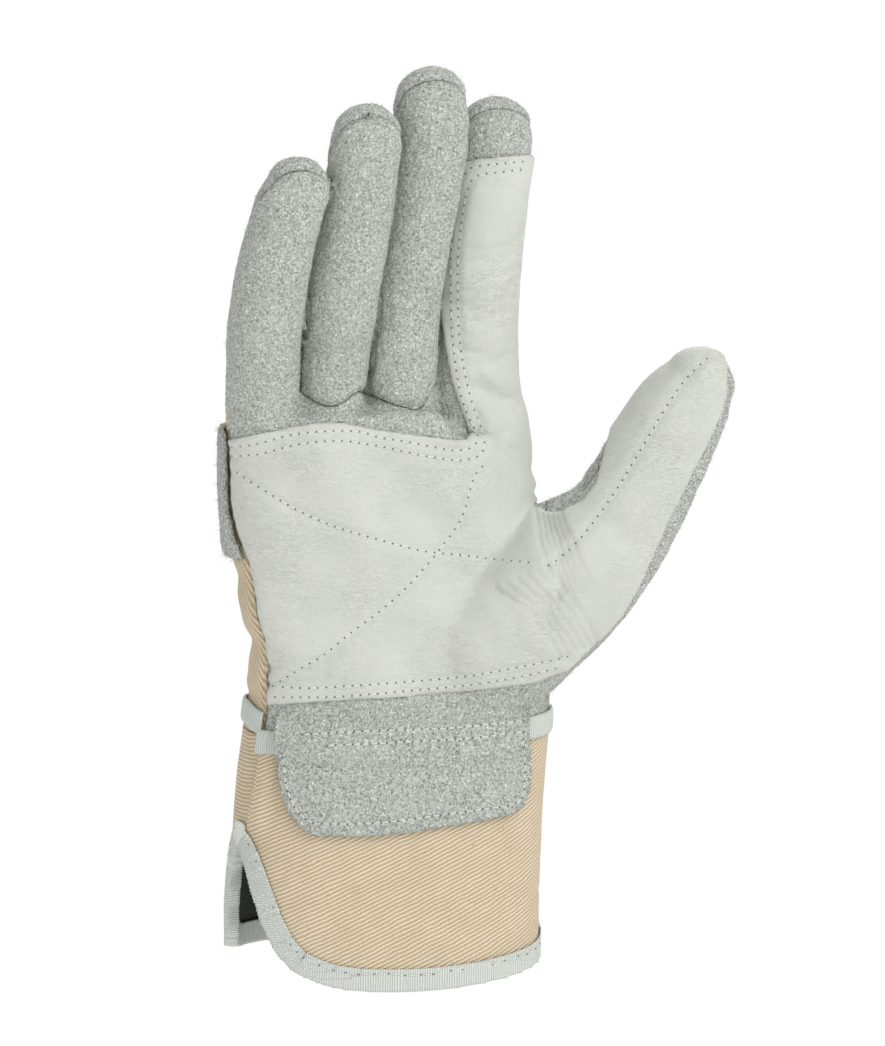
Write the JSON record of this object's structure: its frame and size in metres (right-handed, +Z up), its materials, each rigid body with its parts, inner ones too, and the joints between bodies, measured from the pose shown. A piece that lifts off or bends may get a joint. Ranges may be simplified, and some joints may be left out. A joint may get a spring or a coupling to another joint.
{
  "type": "rigger glove",
  "caption": "Right-hand rigger glove of split leather with a grain leather palm patch, cotton back and short safety cuff, in the shape of a relaxed hand.",
  "frame": {"origin": "middle of the wrist, where the hand is sewn to the cuff", "axes": "+Z up the hand to the fingertips, -Y out of the palm, +X towards the thumb"},
  "size_m": [0.149, 0.0668, 0.2726],
  "materials": {
    "suede": "napped split leather",
    "grain_leather": "smooth, matt",
    "cotton_drill": "twill weave",
    "ribbed_tape": "finely ribbed",
    "lining_cloth": "dark, matt"
  },
  "bodies": {
    "root": {"palm_split": "suede", "ring_front": "suede", "middle_front": "suede", "palm_patch": "grain_leather", "back_panel": "cotton_drill", "little_cap": "suede", "ring_cap": "suede", "middle_cap": "suede", "index_back": "suede", "thumb_back": "suede", "knuckle_strap": "suede", "wrist_tape_front": "ribbed_tape", "wrist_tape_back": "ribbed_tape", "cuff_shell": "cotton_drill", "cuff_lining": "lining_cloth", "hem_binding": "ribbed_tape", "pulse_patch": "suede"}
  },
  "joints": []
}
